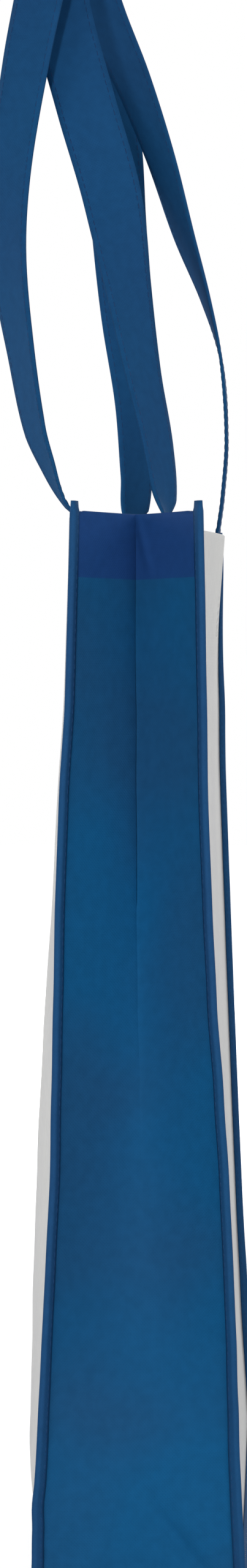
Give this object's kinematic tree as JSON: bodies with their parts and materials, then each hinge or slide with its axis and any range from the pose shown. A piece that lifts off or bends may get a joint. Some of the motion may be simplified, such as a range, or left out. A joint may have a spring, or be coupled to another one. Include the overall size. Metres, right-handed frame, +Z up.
{
  "type": "non-woven shopping bag",
  "caption": "Two-tone non-woven shopping bag with folded side gussets, a hemmed mouth, bound outward seams and long flat handles, standing open.",
  "frame": {"origin": "the middle of the bag's flat bottom, on the surface that it stands on", "axes": "+Z up, Y along the broad panels, X across the gusset, with the front panel at +X"},
  "size_m": [0.1106, 0.3913, 0.7007],
  "materials": {
    "blue_cloth": "matt spunbond, mid blue",
    "grey_cloth": "matt spunbond, light grey",
    "binding_tape": "matt spunbond tape, mid blue",
    "strap_cloth": "matt folded strap, mid blue"
  },
  "bodies": {
    "root": {"gusset": "blue_cloth", "front_panel": "grey_cloth", "back_panel": "grey_cloth", "front_binding": "binding_tape", "back_binding": "binding_tape", "front_handle": "strap_cloth", "back_handle": "strap_cloth"}
  },
  "joints": []
}
